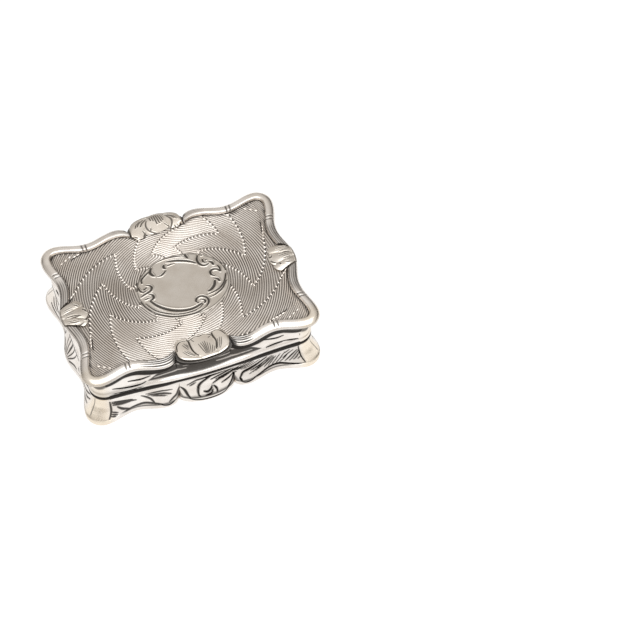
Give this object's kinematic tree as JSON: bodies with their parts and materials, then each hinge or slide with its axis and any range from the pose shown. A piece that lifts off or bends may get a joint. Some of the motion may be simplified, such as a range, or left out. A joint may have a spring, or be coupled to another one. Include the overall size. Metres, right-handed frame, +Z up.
{
  "type": "vinaigrette",
  "caption": "Small hinged silver box with a lobed serpentine outline, engine-turned lid, applied shells and a pierced gilt inner grille over a scented sponge.",
  "frame": {"origin": "on the table under the middle of the base", "axes": "+X along the length, +Y towards the lid's hinge at the back, +Z up"},
  "size_m": [0.04, 0.0306, 0.0122],
  "materials": {
    "silver": "polished silver, softly worn, dark in the chased lines",
    "silver_turned": "engine-turned silver",
    "gilt": "fire-gilt silver",
    "sponge": "dry natural sponge"
  },
  "bodies": {
    "base": {"base_side": "silver", "base_border": "silver", "base_floor": "silver_turned", "bezel": "gilt", "base_bearer": "silver", "base_knuckles": "silver", "lid_hinge_pin": "silver", "grille_ledge": "gilt", "grille_bearer": "gilt", "grille_end_knuckles": "gilt", "grille_hinge_pin": "gilt", "sponge": "sponge"},
    "lid": {"lid_side": "silver", "lid_border": "silver", "lid_panel": "silver_turned", "lid_shell_front": "silver", "lid_shell_back": "silver", "lid_shell_left": "silver", "lid_shell_right": "silver", "lid_bearer": "silver", "lid_knuckles": "silver"},
    "grille": {"grille": "gilt", "grille_knuckle": "gilt"}
  },
  "joints": [
    {"name": "lid_hinge", "type": "hinge", "parent": "base", "child": "lid", "pos_m": [0, 0.01435, 0.0061], "axis": [-1, 0, 0], "range_deg": [0, 105]},
    {"name": "grille_hinge", "type": "hinge", "parent": "base", "child": "grille", "pos_m": [0, 0.0112, 0.0052], "axis": [-1, 0, 0], "range_deg": [0, 84]}
  ],
  "couplings": [
    {"joint": "grille_hinge", "follows": "lid_hinge", "ratio": 0.8}
  ]
}
